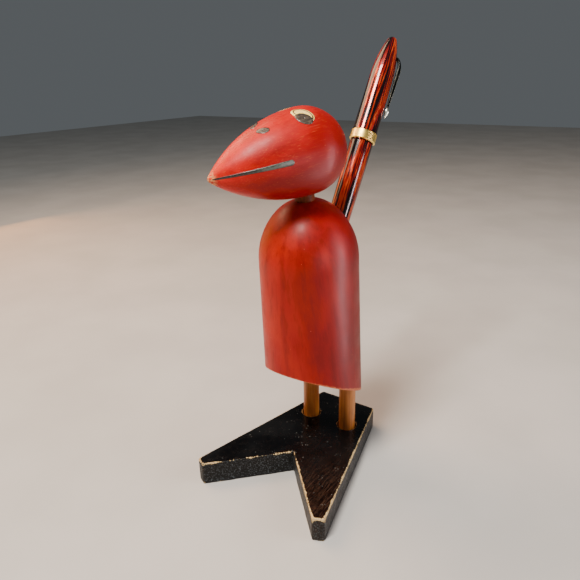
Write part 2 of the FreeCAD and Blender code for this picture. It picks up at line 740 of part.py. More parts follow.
def build_upper_half():
    """Cap-like upper barrel, gold band, clip and the sleeve that drives the refill."""
    place = pen_placement()
    body = new_body("cap")
    revolve(body, cap_section_sketch(body), "cap_turned")
    body.Placement = place
    slot = clip_box("clip_slot", "clip_inner_reach", "clip_stand_off + clip_thickness",
                    "clip_slot_bottom", "clip_slot_top", "clip_slot_gap")
    keep(cut("upper_barrel", body, [slot]), "upper_barrel")
    band = [
        ("band_bore_radius", "band_bottom"), ("band_radius - band_edge_break", "band_bottom"),
        ("band_radius", "band_bottom + band_edge_break"),
        ("band_radius", "band_top - seat_gap - band_edge_break"),
        ("band_radius - band_edge_break", "band_top - seat_gap"),
        ("band_bore_radius", "band_top - seat_gap"),
    ]
    keep(turned_piece("centre_band", band, place), "centre_band")
    sleeve = [
        ("sleeve_bore_radius", "sleeve_bottom"), ("sleeve_radius", "sleeve_bottom"),
        ("sleeve_radius", "sleeve_top"), ("sleeve_journal_radius", "sleeve_top"),
        ("sleeve_journal_radius", "sleeve_journal_bottom"), ("sleeve_bore_radius", "sleeve_journal_bottom"),
    ]
    keep(turned_piece("spiral_sleeve", sleeve, place), "spiral_sleeve")
    build_clip()


# ---------------------------------------------------------------- checks and export

def check_document():
    """Stop if any object failed or any finished piece is not one sound solid."""
    doc.recompute()
    for thing in doc.Objects:
        if "Invalid" in thing.State or "Error" in thing.State:
            raise RuntimeError("%s failed: %s" % (thing.Label, thing.State))
    for piece in nodes:
        shape = piece.Shape
        if shape.isNull() or not shape.isValid() or len(shape.Solids) != 1:
            raise RuntimeError("%s is not one valid solid" % piece.Label)
        print("%-15s %9.1f mm3" % (piece.Label, shape.Volume))


def export():
    os.makedirs("parts", exist_ok=True)
    for piece in nodes:
        piece.Shape.exportStep("parts/%s.step" % piece.Label)


fill_sheet()
build_base_plate()
build_legs()
build_body()
build_neck_peg()
build_head()
build_lower_half()
build_refill()
build_upper_half()
check_document()
export()
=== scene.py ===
import json
import math
from collections import namedtuple

import bpy
import numpy as np
from mathutils import Matrix, Vector, noise
from mathutils.bvhtree import BVHTree


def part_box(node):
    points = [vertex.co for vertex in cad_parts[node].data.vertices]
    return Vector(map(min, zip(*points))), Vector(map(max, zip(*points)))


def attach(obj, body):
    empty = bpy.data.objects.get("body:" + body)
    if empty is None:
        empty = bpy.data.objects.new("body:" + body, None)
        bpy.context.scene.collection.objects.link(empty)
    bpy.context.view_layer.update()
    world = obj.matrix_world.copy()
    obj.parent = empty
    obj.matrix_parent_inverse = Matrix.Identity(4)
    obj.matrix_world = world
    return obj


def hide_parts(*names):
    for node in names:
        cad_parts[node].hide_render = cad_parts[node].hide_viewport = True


# A turned-wood bird that holds a pen: its stained wood, painted face, worn foot plate and the
# pen's metals and celluloid, around the CAD frame. Lengths are in metres unless a note or the
# factor MM says otherwise.

MM = 0.001
ACROSS = Vector((1, 0, 0))

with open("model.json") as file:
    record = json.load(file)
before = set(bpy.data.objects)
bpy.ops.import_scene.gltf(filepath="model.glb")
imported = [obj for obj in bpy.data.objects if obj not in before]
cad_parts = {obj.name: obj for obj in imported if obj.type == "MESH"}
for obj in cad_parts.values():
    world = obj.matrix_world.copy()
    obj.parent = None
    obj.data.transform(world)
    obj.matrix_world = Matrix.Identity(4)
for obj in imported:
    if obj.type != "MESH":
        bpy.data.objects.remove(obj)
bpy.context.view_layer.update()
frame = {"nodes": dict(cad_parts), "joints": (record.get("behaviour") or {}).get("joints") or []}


# Where things are, read from the frame


def joint(name):
    return next(j for j in frame["joints"] if j["name"] == name)


def node_points(node):
    return [v.co for v in frame["nodes"][node].data.vertices]


def across(point, origin, way):
    """The part of point - origin that is square to way."""
    offset = point - origin
    return offset - offset.dot(way) * way


NECK_POINT = Vector(joint("head_turn")["pos_m"])
NECK_WAY = Vector(joint("head_turn")["axis"]).normalized()
BEAK_TIP = max(node_points("head"), key=lambda p: across(p, NECK_POINT, NECK_WAY).length)
BEAK_WAY = across(BEAK_TIP, NECK_POINT, NECK_WAY).normalized()
HEAD_SIDE = BEAK_WAY.cross(NECK_WAY)

PEN_BASE = Vector(joint("pen_twist")["pos_m"])
PEN_WAY = Vector(joint("pen_twist")["axis"]).normalized()
CLIP_MIDDLE = sum(node_points("clip"), Vector()) / len(node_points("clip"))
CLIP_SIDE = across(CLIP_MIDDLE, PEN_BASE, PEN_WAY).normalized()
CLIP_LOW = min((p - PEN_BASE).dot(PEN_WAY) for p in node_points("clip")) / MM

# The clip in millimetres: heights up the pen, then reaches from the pen's axis, then half
# widths and half depths at its root, its bend and its foot, and those the drop swells by,
# and last the bow's outer face from the bend and the shoulder
CLIP_TOP, CLIP_BEND, DROP_LENGTH = 116.5, 111.6, 4.3
CLIP_ROOT, CLIP_SHOULDER, CLIP_BELLY, CLIP_FOOT = 2.6, 3.5, 5.77, 5.72
ROOT_WIDTH, BEND_WIDTH, FOOT_WIDTH, DROP_WIDTH = 1.1, 1.2, 0.7, 0.75
ROOT_DEPTH, BEND_DEPTH, FOOT_DEPTH, DROP_DEPTH = 0.37, 0.88, 0.48, 0.55
BOW_HEIGHT, BOW_REACH = 5.35, 3.0
DROP_TOP = CLIP_LOW + DROP_LENGTH

# The celluloid's threads are drawn on a cylinder of this radius, in millimetres
CAP_RADIUS = 4.6

LEG_CENTRES = [sum(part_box(leg), Vector()) / 2 for leg in ("left_leg", "right_leg")]
LEG_RADIUS = (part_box("left_leg")[1].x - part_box("left_leg")[0].x) / 2


def between(start, end, share):
    return start + (end - start) * share


def shares(steps):
    """Even steps from 0 to 1, both ends included."""
    return [i / steps for i in range(steps + 1)]


def placed(origin, along, towards):
    """Matrix of a place whose Z is along and whose X leans towards."""
    z = along.normalized()
    x = (towards - towards.dot(z) * z).normalized()
    turn = Matrix((x, z.cross(x), z)).transposed()
    return Matrix.Translation(origin) @ turn.to_4x4()


# Places that the finishes are drawn in. The body's grain runs along the neck peg.
GRAIN_START = Vector((0, -12, 30)) * MM
BODY_PLACE = placed(GRAIN_START, NECK_WAY, ACROSS)
HEAD_PLACE = placed(BEAK_TIP, BEAK_WAY, NECK_WAY)
PEN_PLACE = placed(PEN_BASE, PEN_WAY, CLIP_SIDE)
UPRIGHT = Matrix.Identity(4)


# Camera, floor and light

CAMERA_POINT = Vector((103.75, -174.7, 151.2)) * MM
CAMERA_HEADING = math.radians(35.17)
CAMERA_DIP = math.radians(21.69)
CAMERA_ROLL = math.radians(-1.30)
LENS = 33.83
SENSOR = 36

# The place along Y that the lights stand round, then the floor
STAGE_MIDDLE = -0.018
FLOOR_SIZE, FLOOR_STEPS = 3.0, 24


def make_camera():
    data = bpy.data.cameras.new("camera")
    data.lens = LENS
    data.sensor_width = SENSOR
    data.clip_start = 0.01
    camera = bpy.data.objects.new("camera", data)
    bpy.context.scene.collection.objects.link(camera)
    turn = (
        Matrix.Rotation(CAMERA_HEADING, 4, "Z")
        @ Matrix.Rotation(math.pi / 2 - CAMERA_DIP, 4, "X")
        @ Matrix.Rotation(CAMERA_ROLL, 4, "Z")
    )
    camera.matrix_world = Matrix.Translation(CAMERA_POINT) @ turn
    bpy.context.scene.camera = camera


def softbox(name, azimuth, height, reach, size, power, colour, aim, sheen=True, matte=True):
    """A soft panel at azimuth around the object, turned to the height aim.

    It lights the sheen, the matte colour, or both.
    """
    data = bpy.data.lights.new(name, "AREA")
    data.shape = "RECTANGLE"
    data.size, data.size_y = size
    data.energy = power
    data.color = colour
    lamp = bpy.data.objects.new(name, data)
    bpy.context.scene.collection.objects.link(lamp)
    turn = math.radians(azimuth)
    lamp.location = (reach * math.sin(turn), STAGE_MIDDLE - reach * math.cos(turn), height)
    way = Vector((0, STAGE_MIDDLE, aim)) - lamp.location
    lamp.rotation_euler = way.to_track_quat("-Z", "Y").to_euler()
    lamp.visible_camera = False
    lamp.visible_diffuse = matte
    lamp.visible_glossy = sheen


def make_world(colour, strength):
    world = bpy.data.worlds.new("studio")
    world.use_nodes = True
    background = world.node_tree.nodes["Background"]
    background.inputs["Color"].default_value = colour
    background.inputs["Strength"].default_value = strength
    bpy.context.scene.world = world


# Materials


def srgb(red, green, blue):
    """A colour given as 0 to 255 in sRGB, as the linear colour that shaders take."""
    share = [c / 255 for c in (red, green, blue)]
    linear = [c / 12.92 if c <= 0.04045 else ((c + 0.055) / 1.055) ** 2.4 for c in share]
    return (*linear, 1.0)


class Finish:
    """One procedural material, built node by node, with its patterns sized in millimetres."""

    def __init__(self, name, **sockets):
        self.material = bpy.data.materials.new(name)
        self.material.use_nodes = True
        self.tree = self.material.node_tree
        self.shader = self.tree.nodes["Principled BSDF"]
        for socket, amount in sockets.items():
            self.socket(socket).default_value = amount

    def socket(self, name):
        """The shader's socket for a name such as coat_weight."""
        return self.shader.inputs[name.replace("_", " ").title().replace("Ior", "IOR")]

    def node(self, kind, inputs, output=0, **settings):
        made = self.tree.nodes.new("ShaderNode" + kind)
        for name, value in settings.items():
            setattr(made, name, value)
        for key, value in inputs.items():
            if isinstance(value, bpy.types.NodeSocket):
                self.tree.links.new(value, made.inputs[key])
            else:
                made.inputs[key].default_value = value
        return made.outputs[output]

    def place(self, matrix):
        """Object coordinates in millimetres, in the place that matrix gives."""
        coordinates = self.node("TexCoord", {}, output="Object")
        return self.node(
            "Mapping",
            {
                "Vector": coordinates,
                "Location": matrix.to_translation(),
                "Rotation": matrix.to_euler(),
                "Scale": (MM, MM, MM),
            },
            vector_type="TEXTURE",
        )

    def stretch(self, vector, x, y, z):
        return self.node("Mapping", {"Vector": vector, "Scale": (x, y, z)})

    def parts(self, vector):
        split = self.node("SeparateXYZ", {"Vector": vector}).node
        return split.outputs

    def noise(self, vector, size, detail=2.0, rough=0.5, warp=0.0, w=None):
        inputs = {
            "Vector": vector,
            "Scale": 1 / size,
            "Detail": detail,
            "Roughness": rough,
            "Distortion": warp,
        }
        if w is not None:
            return self.node("TexNoise", {**inputs, "W": w}, noise_dimensions="4D")
        return self.node("TexNoise", inputs)

    def cells(self, vector, size):
        return self.node("TexVoronoi", {"Vector": vector, "Scale": 1 / size}, output="Distance")

    def ramp(self, factor, *stops):
        made = self.node("ValToRGB", {"Fac": factor}).node
        band = made.color_ramp
        while len(band.elements) < len(stops):
            band.elements.new(0.5)
        for element, (position, colour) in zip(band.elements, stops):
            element.position = position
            element.color = colour
        return made.outputs["Color"]

    def fit(self, value, low, high, start=0.0, end=1.0, smooth=True):
        kind = "SMOOTHSTEP" if smooth else "LINEAR"
        return self.node(
            "MapRange",
            {"Value": value, "From Min": low, "From Max": high, "To Min": start, "To Max": end},
            interpolation_type=kind,
        )

    def maths(self, operation, a, b=0.0, clamp=False):
        return self.node("Math", {0: a, 1: b}, operation=operation, use_clamp=clamp)

    def mix(self, factor, a, b):
        return self.node("Mix", {0: factor, 6: a, 7: b}, output=2, data_type="RGBA")

    def times(self, a, b):
        return self.maths("MULTIPLY", a, b)

    def blend(self, *terms):
        """The sum of the terms, each a value and its weight."""
        total = self.times(*terms[0])
        for value, weight in terms[1:]:
            total = self.maths("ADD", total, self.times(value, weight))
        return total

    def bump(self, height, distance, strength, normal=None):
        inputs = {"Height": height, "Distance": distance * MM, "Strength": strength}
        if normal is not None:
            inputs["Normal"] = normal
        return self.node("Bump", inputs)

    def attribute(self, name):
        return self.node("Attribute", {}, output="Fac", attribute_name=name)

    def wire(self, **sockets):
        for socket, output in sockets.items():
            self.tree.links.new(output, self.socket(socket))
        return self.material

    def strokes(self, vector, gap, width, length, turn, keep):
        """Short straight marks, one to a cell gap wide at most, in the share keep of the cells."""
        turned = self.node("Mapping", {"Vector": vector, "Rotation": turn})
        drawn = self.stretch(turned, 1 / gap, 1 / gap, width / length / gap)
        cell = self.node("TexVoronoi", {"Vector": drawn, "Scale": 1.0}).node
        core = self.fit(cell.outputs["Distance"], width / gap / 2, width / gap / 4)
        chance = self.parts(cell.outputs["Color"])[0]
        return self.times(core, self.fit(chance, 1 - keep, 1 - keep + 0.01))


def stained_wood(name, place, deep, mid, warm, lean):
    """Turned wood under a thin red stain: long grain, warmer towards lean, rubbed and scratched.
    The warmth towards lean is partly uneven stain and partly painted light from a warm lamp on one
    side.
    """
    made = Finish(name, specular_ior_level=0.22)
    mm = made.place(place)
    x, y, z = made.parts(mm)
    streaks = made.noise(made.stretch(mm, 1.0, 1.0, 0.03), 1.9, detail=3.0, rough=0.6)
    bands = made.noise(made.stretch(mm, 1.0, 1.0, 0.06), 7.5, detail=2.0, warp=0.4)
    fibres = made.noise(made.stretch(mm, 1.0, 1.0, 0.05), 0.34, detail=3.0, rough=0.7)
    patches = made.noise(made.stretch(mm, 1.0, 1.0, 0.6), 12.0, detail=3.0)
    # side warms the wood towards lean: partly uneven stain, partly painted light from a warm lamp
    # on that side
    side = made.blend((x, lean[0]), (y, lean[1]), (z, lean[2]))
    tone = made.maths("ADD", made.blend((patches, 0.9), (streaks, 0.5)), side)
    base = made.ramp(made.fit(tone, 0.2, 1.2, smooth=False), (0.0, deep), (0.5, mid), (1.0, warm))
    base = made.mix(made.fit(streaks, 0.48, 0.68, 0.0, 0.42), base, deep)
    base = made.mix(made.fit(bands, 0.52, 0.66, 0.0, 0.38), base, deep)
    base = made.mix(made.fit(fibres, 0.55, 0.75, 0.0, 0.38), base, deep)
    base = made.mix(made.fit(fibres, 0.45, 0.28, 0.0, 0.22), base, warm)
    marks = made.strokes(mm, 5.0, 0.16, 5.0, (0.25, 0.1, 0.3), 0.20)
    cross_marks = made.strokes(mm, 4.0, 0.14, 3.0, (1.1, 0.5, 0.2), 0.12)
    specks = made.strokes(mm, 1.9, 0.30, 0.45, (0.0, 0.4, 0.0), 0.14)
    rubbed = made.maths("MAXIMUM", made.maths("MAXIMUM", marks, cross_marks), specks)
    base = made.mix(made.times(rubbed, 0.6), base, srgb(226, 116, 78))
    rough = made.fit(made.noise(mm, 5.0, detail=3.0), 0.3, 0.7, 0.33, 0.45)
    rough = made.maths("ADD", rough, made.times(fibres, 0.06))
    relief = made.bump(made.noise(mm, 7.0, detail=2.0), 0.05, 0.5)
    relief = made.bump(fibres, 0.02, 0.6, relief)
    relief = made.bump(streaks, 0.03, 0.5, relief)
    return made, mm, base, rough, relief


def body_finish():
    # The lean below makes the body warmer towards -X, -Y and up: partly uneven stain, partly
    # painted warm light on the side that faces the warm lamps.
    made, mm, base, rough, relief = stained_wood(
        "red_stained_body",
        BODY_PLACE,
        srgb(88, 1, 3),
        srgb(143, 4, 3),
        srgb(178, 34, 4),
        (-0.010, -0.004, 0.003),
    )
    rim_point, rim_way = body_rim()
    coordinates = made.node("TexCoord", {}, output="Object")
    offset = made.node("VectorMath", {0: coordinates, 1: rim_point}, operation="SUBTRACT")
    product = {0: offset, 1: rim_way}
    height = made.node("VectorMath", product, output="Value", operation="DOT_PRODUCT")
    ragged = made.times(made.noise(mm, 1.6, detail=3.0), 1.3 * MM)
    near_rim = made.fit(made.maths("ADD", height, ragged), 0.62 * MM, 1.0 * MM, 1.0, 0.0)
    cut = made.ramp(
        made.noise(made.stretch(mm, 1.0, 1.0, 0.3), 0.9, detail=4.0),
        (0.3, srgb(190, 80, 40)),
        (0.7, srgb(226, 140, 84)),
    )
    base = made.mix(made.times(near_rim, 0.75), base, cut)
    return made.wire(base_color=base, roughness=rough, normal=relief)


def body_rim():
    """A point on the flat cut under the body, and its direction upwards."""
    mesh = frame["nodes"]["body"].data
    down = [p for p in mesh.polygons if p.normal.z < -0.8]
    area = sum(p.area for p in down)
    way = sum((p.normal * p.area for p in down), Vector()) / area
    point = sum((p.center * p.area for p in down), Vector()) / area
    return point, -way.normalized()


def head_finish():
    # The lean below makes the head warmer towards the beak tip, the crown and one side: partly
    # uneven stain, partly painted light where the top and beak catch warm lamp light.
    made, mm, base, rough, relief = stained_wood(
        "red_stained_head",
        HEAD_PLACE,
        srgb(138, 2, 3),
        srgb(206, 18, 9),
        srgb(250, 112, 50),
        (0.016, 0.008, 0.016),
    )
    tip = made.fit(made.parts(mm)[2], -0.9, -2.6, 1.0, 0.0)
    ragged = made.fit(made.noise(mm, 0.8, detail=3.0), 0.35, 0.6)
    base = made.mix(made.times(tip, ragged), base, srgb(216, 150, 96))
    return made.wire(base_color=base, roughness=rough, normal=relief)


LIGHT_DOWEL = (srgb(206, 138, 62), srgb(178, 106, 40), srgb(116, 60, 20))
# Darker tones for the neck peg: painted shade, the head's shadow painted into the dowel.
PAINTED_SHADE_DOWEL = (srgb(150, 78, 38), srgb(112, 50, 24), srgb(70, 26, 14))


def dowel_finish(name, tones, coat):
    """Dowel gone brown with age. tones go from light to dark, and coat is the varnish's weight. On
    the neck peg the darker tones are painted shade.
    """
    sheen = 0.08 + 0.9 * coat
    made = Finish(name, coat_weight=coat, coat_roughness=0.15, specular_ior_level=sheen)
    mm = made.place(UPRIGHT)
    grain = made.noise(made.stretch(mm, 1.0, 1.0, 0.03), 0.8, detail=5.0, rough=0.6)
    patches = made.noise(made.stretch(mm, 1.0, 1.0, 0.3), 5.0, detail=2.0)
    tone = made.blend((grain, 0.7), (patches, 0.5))
    base = made.ramp(
        made.fit(tone, 0.35, 0.85, smooth=False),
        (0.0, tones[0]),
        (0.5, tones[1]),
        (1.0, tones[2]),
    )
    flecks = made.fit(made.noise(made.stretch(mm, 1.0, 1.0, 0.07), 0.28, detail=2.0), 0.64, 0.74)
    base = made.mix(made.times(flecks, 0.5), base, srgb(80, 38, 14))
    rough = made.fit(grain, 0.3, 0.7, 0.32, 0.5)
    relief = made.bump(grain, 0.03, 0.5)
    relief = made.bump(made.noise(mm, 1.2), 0.03, 0.4, relief)
    return made.wire(base_color=base, roughness=rough, normal=relief)


def lacquer_finish():
    """Black paint on sawn wood, worn through to bare wood wherever the wear attribute is high."""
    made = Finish("worn_black_paint", specular_ior_level=0.22)
    mm = made.place(UPRIGHT)
    x, y, _ = made.parts(mm)
    side = made.attribute("side")
    fine = made.noise(mm, 0.55, detail=4.0, rough=0.65)
    broad = made.noise(mm, 4.5, detail=3.0)
    rubbed = made.maths("ADD", made.attribute("wear"), made.blend((fine, 0.9), (broad, 0.9)))
    bare = made.fit(rubbed, 1.40, 1.50)
    dusty = made.fit(made.noise(mm, 14.0, detail=4.0), 0.35, 0.7)
    paint = made.mix(dusty, srgb(3, 3, 4), srgb(14, 15, 16))
    # The side faces are darkened towards near black here: painted shade.
    paint = made.mix(made.times(side, 0.7), paint, srgb(2, 2, 3))
    drawn = {"Vector": mm, "Rotation": (0, 0, 0.5), "Scale": (1.0, 0.12, 1.0)}
    brushed = made.noise(made.node("Mapping", drawn), 0.5, detail=4.0, rough=0.7)
    toe = made.fit(made.blend((x, 1.0), (y, -0.9)), 26.0, 58.0)
    brown = made.times(made.fit(brushed, 0.42, 0.70), made.times(toe, 0.6))
    paint = made.mix(brown, paint, srgb(66, 48, 37))
    specks = made.fit(made.cells(mm, 1.25), 0.16, 0.1)
    specks = made.times(specks, made.fit(made.noise(mm, 3.0), 0.52, 0.62))
    paint = made.mix(made.times(specks, 0.38), paint, srgb(170, 176, 172))
    grit = made.fit(made.noise(mm, 0.50, detail=3.0, rough=0.75), 0.57, 0.64)
    paint = made.mix(made.times(grit, made.times(side, 0.62)), paint, srgb(122, 132, 138))
    wood = made.ramp(
        fine,
        (0.3, srgb(122, 94, 58)),
        (0.55, srgb(190, 164, 116)),
        (0.8, srgb(224, 206, 162)),
    )
    base = made.mix(bare, paint, wood)
    smooth = made.fit(made.noise(mm, 2.6, detail=3.0), 0.3, 0.7, 0.16, 0.30)
    rough = made.maths("ADD", smooth, made.blend((side, 0.26), (bare, 0.3)), clamp=True)
    relief = made.bump(made.noise(mm, 6.0, detail=2.0), 0.05, 0.4)
    sawn = made.times(made.noise(mm, 0.4, detail=4.0, rough=0.7), side)
    relief = made.bump(sawn, 0.12, 0.7, relief)
    relief = made.bump(bare, -0.05, 0.6, relief)
    return made.wire(base_color=base, roughness=rough, normal=relief)


def celluloid_finish(name, seed):
    """Pen barrel of black, red and orange threads drawn out lengthways under a high polish."""
    made = Finish(name, coat_weight=0.45, coat_roughness=0.05, specular_ior_level=0.25)
    mm = made.place(PEN_PLACE)
    x, y, z = made.parts(mm)
    flat = made.node("CombineXYZ", {"X": x, "Y": y})
    out = made.node("VectorMath", {0: flat}, operation="NORMALIZE")
    around = made.node("VectorMath", {0: out, "Scale": CAP_RADIUS}, operation="SCALE")
    lift = made.node("CombineXYZ", {"Z": z})
    drawn = made.node("VectorMath", {0: around, 1: lift}, operation="ADD")
    long = made.stretch(drawn, 1.0, 1.0, 0.05)
    short = made.stretch(drawn, 1.0, 1.0, 0.08)
    threads = made.noise(long, 2.3, detail=3.0, rough=0.55, warp=0.35, w=seed)
    fine = made.noise(short, 0.7, detail=3.0, rough=0.6, w=seed + 3)
    mixed = made.blend((threads, 0.75), (fine, 0.25))
    base = made.ramp(
        mixed,
        (0.475, srgb(12, 6, 7)),
        (0.505, srgb(66, 6, 9)),
        (0.53, srgb(160, 20, 15)),
        (0.555, srgb(224, 92, 36)),
        (0.575, srgb(120, 14, 12)),
        (0.61, srgb(16, 6, 8)),
    )
    glow = made.fit(mixed, 0.51, 0.54)
    glow = made.times(glow, made.fit(mixed, 0.60, 0.57))
    rough = made.fit(fine, 0.3, 0.7, 0.12, 0.26)
    metallic = made.times(glow, 0.4)
    relief = made.bump(made.noise(mm, 1.5, detail=3.0), 0.012, 0.5)
    return made.wire(base_color=base, roughness=rough, metallic=metallic, normal=relief)


def metal_finish(name, bright, dull, roughness):
    """Worn metal with turning lines around the pen's axis and tarnish in patches."""
    made = Finish(name, metallic=1.0)
    mm = made.place(PEN_PLACE)
    brushed = made.noise(made.stretch(mm, 0.25, 0.25, 8.0), 1.0, detail=2.0)
    tarnish = made.noise(mm, 3.0, detail=4.0, rough=0.6)
    base = made.mix(made.fit(tarnish, 0.42, 0.68), bright, dull)
    base = made.mix(made.times(made.fit(brushed, 0.5, 0.75), 0.3), base, dull)
    rough = made.fit(tarnish, 0.3, 0.75, roughness, roughness + 0.16)
    rough = made.maths("ADD", rough, made.times(brushed, 0.06))
    relief = made.bump(brushed, 0.003, 0.4)
    relief = made.bump(made.noise(mm, 2.4), 0.02, 0.3, relief)
    return made.wire(base_color=base, roughness=rough, normal=relief)


def clip_finish():
    """Thin plate over steel: the outer face and the drop show the bright metal, and the flanks are
    painted near black as a painted dark reflection.
    """
    made = Finish("clip_metal", metallic=1.0)
    mm = made.place(PEN_PLACE)
    x, _, z = made.parts(mm)
    stain = made.noise(made.stretch(mm, 1.0, 1.0, 0.2), 0.9, detail=3.0)
    # the straight run's outer face moves in by 0.031 for each millimetre down the pen
    outer = made.fit(made.blend((x, 1.0), (stain, 0.2), (z, -0.031)), 3.08, 3.24)
    # the bow's outer face is a quarter of an ellipse about the shoulder
    above = made.maths("SUBTRACT", z, CLIP_BEND)
    beside = made.maths("SUBTRACT", x, CLIP_SHOULDER)
    tall = made.maths("DIVIDE", above, BOW_HEIGHT)
    wide = made.maths("DIVIDE", beside, BOW_REACH)
    bow = made.fit(made.blend((tall, tall), (wide, wide)), 0.88, 0.97)
    bow = made.times(bow, made.fit(above, -0.5, 0.0))
    outer = made.maths("MAXIMUM", outer, bow)
    drop = made.fit(z, DROP_TOP + 0.6, DROP_TOP - 0.6)
    bright = made.maths("MAXIMUM", outer, drop)
    # Everything but the outer face and the drop gets a near-black colour: a painted dark reflection
    # on the flanks.
    base = made.mix(bright, srgb(34, 34, 32), srgb(214, 220, 204))
    base = made.mix(made.fit(stain, 0.5, 0.8, 0.0, 0.4), base, srgb(96, 92, 76))
    rough = made.fit(stain, 0.3, 0.7, 0.26, 0.40)
    return made.wire(base_color=base, roughness=rough, normal=made.bump(stain, 0.004, 0.3))


def plastic_finish(name, light, dark):
    """Thin moulded tube, a little cloudy, with ink seen through it."""
    made = Finish(name, coat_weight=0.4, coat_roughness=0.1)
    mm = made.place(PEN_PLACE)
    cloud = made.noise(made.stretch(mm, 1.0, 1.0, 0.1), 1.5, detail=3.0)
    base = made.mix(made.fit(cloud, 0.35, 0.65), light, dark)
    rough = made.fit(made.noise(mm, 0.8, detail=2.0), 0.3, 0.7, 0.24, 0.38)
    return made.wire(base_color=base, roughness=rough, normal=made.bump(cloud, 0.01, 0.4))


def paint_finish(name, colour, worn, roughness, faded=None):
    """Brushed enamel on the head, slightly uneven. Behind the beak it may turn to faded, a pale
    colour that is a painted reflection of sheen on the glossy paint.
    """
    made = Finish(name, coat_weight=0.35, coat_roughness=0.12)
    mm = made.place(HEAD_PLACE)
    strokes = made.noise(made.stretch(mm, 1.0, 1.0, 0.35), 0.5, detail=3.0)
    base = made.mix(made.fit(strokes, 0.42, 0.72), colour, worn)
    # faded stands for a painted reflection: the pale sheen on the back of the glossy mouth line.
    if faded:
        behind = made.fit(made.parts(mm)[2], -10.0, -17.0)
        patchy = made.fit(strokes, 0.35, 0.6, 0.35, 0.85)
        base = made.mix(made.times(behind, patchy), base, faded)
    rough = made.fit(strokes, 0.3, 0.7, roughness, roughness + 0.14)
    return made.wire(base_color=base, roughness=rough, normal=made.bump(strokes, 0.02, 0.5))


def floor_finish():
    made = Finish("pale_floor", specular_ior_level=0.0)
    mm = made.place(UPRIGHT)
    cloud = made.noise(mm, 60.0, detail=4.0)
    base = made.mix(made.fit(cloud, 0.3, 0.7), srgb(190, 188, 183), srgb(182, 180, 175))
    rough = made.fit(made.noise(mm, 4.0, detail=3.0), 0.3, 0.7, 0.62, 0.74)
    relief = made.bump(made.noise(mm, 1.0, detail=3.0), 0.03, 0.3)
    return made.wire(base_color=base, roughness=rough, normal=relief)


def dress(node, material):
    """Gives a CAD node its finish."""
    data = frame["nodes"][node].data
    data.materials.clear()
    data.materials.append(material)


# Meshes


def add_mesh(name, points, faces, material, body):
    """A smooth piece that rides on body, if body is given."""
    mesh = bpy.data.meshes.new(name)
    mesh.from_pydata([tuple(p) for p in points], [], faces)
    mesh.validate()
    mesh.update()
    made = bpy.data.objects.new(name, mesh)
    bpy.context.scene.collection.objects.link(made)
    mesh.materials.append(material)
    mesh.polygons.foreach_set("use_smooth", [True] * len(mesh.polygons))
    if body:
        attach(made, body)
    return made


def make_floor():
    marks = [FLOOR_SIZE * (share - 0.5) for share in shares(FLOOR_STEPS)]
    points = [(x, y, 0.0) for x in marks for y in marks]
    row = FLOOR_STEPS + 1
    faces = [
        (i * row + j, (i + 1) * row + j, (i + 1) * row + j + 1, i * row + j + 1)
        for i in range(FLOOR_STEPS)
        for j in range(FLOOR_STEPS)
    ]
    floor = add_mesh("floor", points, faces, floor_finish(), None)


# In millimetres: where rays start out from the beak's line, and how deep a coat's underside is
RAY_START = 50
BURIED = -0.08

# The mouth line's angle from the crown, its ends behind the tip, and the share it rounds off from
MOUTH_ANGLE = math.radians(81.0)
MOUTH_START, MOUTH_END, MOUTH_ROUND = 0.9, 24.2, 0.96

FACE_SIDES = ((-1, "left", 0.0), (1, "right", 1.4))

# back is behind the tip and arc is round from the crown, in millimetres; tilt is in radians,
# and a coat with a crown of 1 is thickest in its middle
Oval = namedtuple("Oval", "back arc half_length half_width tilt crown")


class Skin:
    """The head's surface, found by distance behind the beak tip and by angle from the crown."""

    def __init__(self):
        mesh = frame["nodes"]["head"].data
        faces = [tuple(p.vertices) for p in mesh.polygons]
        self.tree = BVHTree.FromPolygons([v.co.copy() for v in mesh.vertices], faces)

    def hit(self, back, angle):
        way = math.cos(angle) * NECK_WAY + math.sin(angle) * HEAD_SIDE
        start = BEAK_TIP - back * MM * BEAK_WAY + RAY_START * MM * way
        point, normal, _, _ = self.tree.ray_cast(start, -way)
        return point, normal

    def radius(self, back, angle):
        point, _ = self.hit(back, angle)
        return across(point, BEAK_TIP, BEAK_WAY).length / MM

    def point(self, back, arc, middle, lift):
        """The place lift above the skin, back behind the tip and arc round from middle."""
        angle = middle + arc / self.radius(back, middle)
        point, normal = self.hit(back, angle)
        return point + normal * lift * MM


def film(name, grid, closed_round, material):
    """A thin coat whose rows of points are given as (top, under) pairs, closed along its edges."""
    rows, columns = len(grid), len(grid[0])
    top = [pair[0] for line in grid for pair in line]
    under = [pair[1] for line in grid for pair in line]
    shift = len(top)
    faces = []
    wrap = columns if closed_round else columns - 1

    def at(i, j):
        return i * columns + j % columns

    for i in range(rows - 1):
        for j in range(wrap):
            quad = (at(i, j), at(i, j + 1), at(i + 1, j + 1), at(i + 1, j))
            faces.append(quad)
            faces.append(tuple(shift + k for k in reversed(quad)))
    edges = [[at(0, j) for j in range(wrap + 1)], [at(rows - 1, j) for j in range(wrap, -1, -1)]]
    if not closed_round:
        edges.append([at(i, 0) for i in range(rows - 1, -1, -1)])
        edges.append([at(i, columns - 1) for i in range(rows)])
    for line in edges:
        for a, b in zip(line, line[1:]):
            faces.append((b, a, shift + a, shift + b))
    return add_mesh(name, top + under, faces, material, "head")


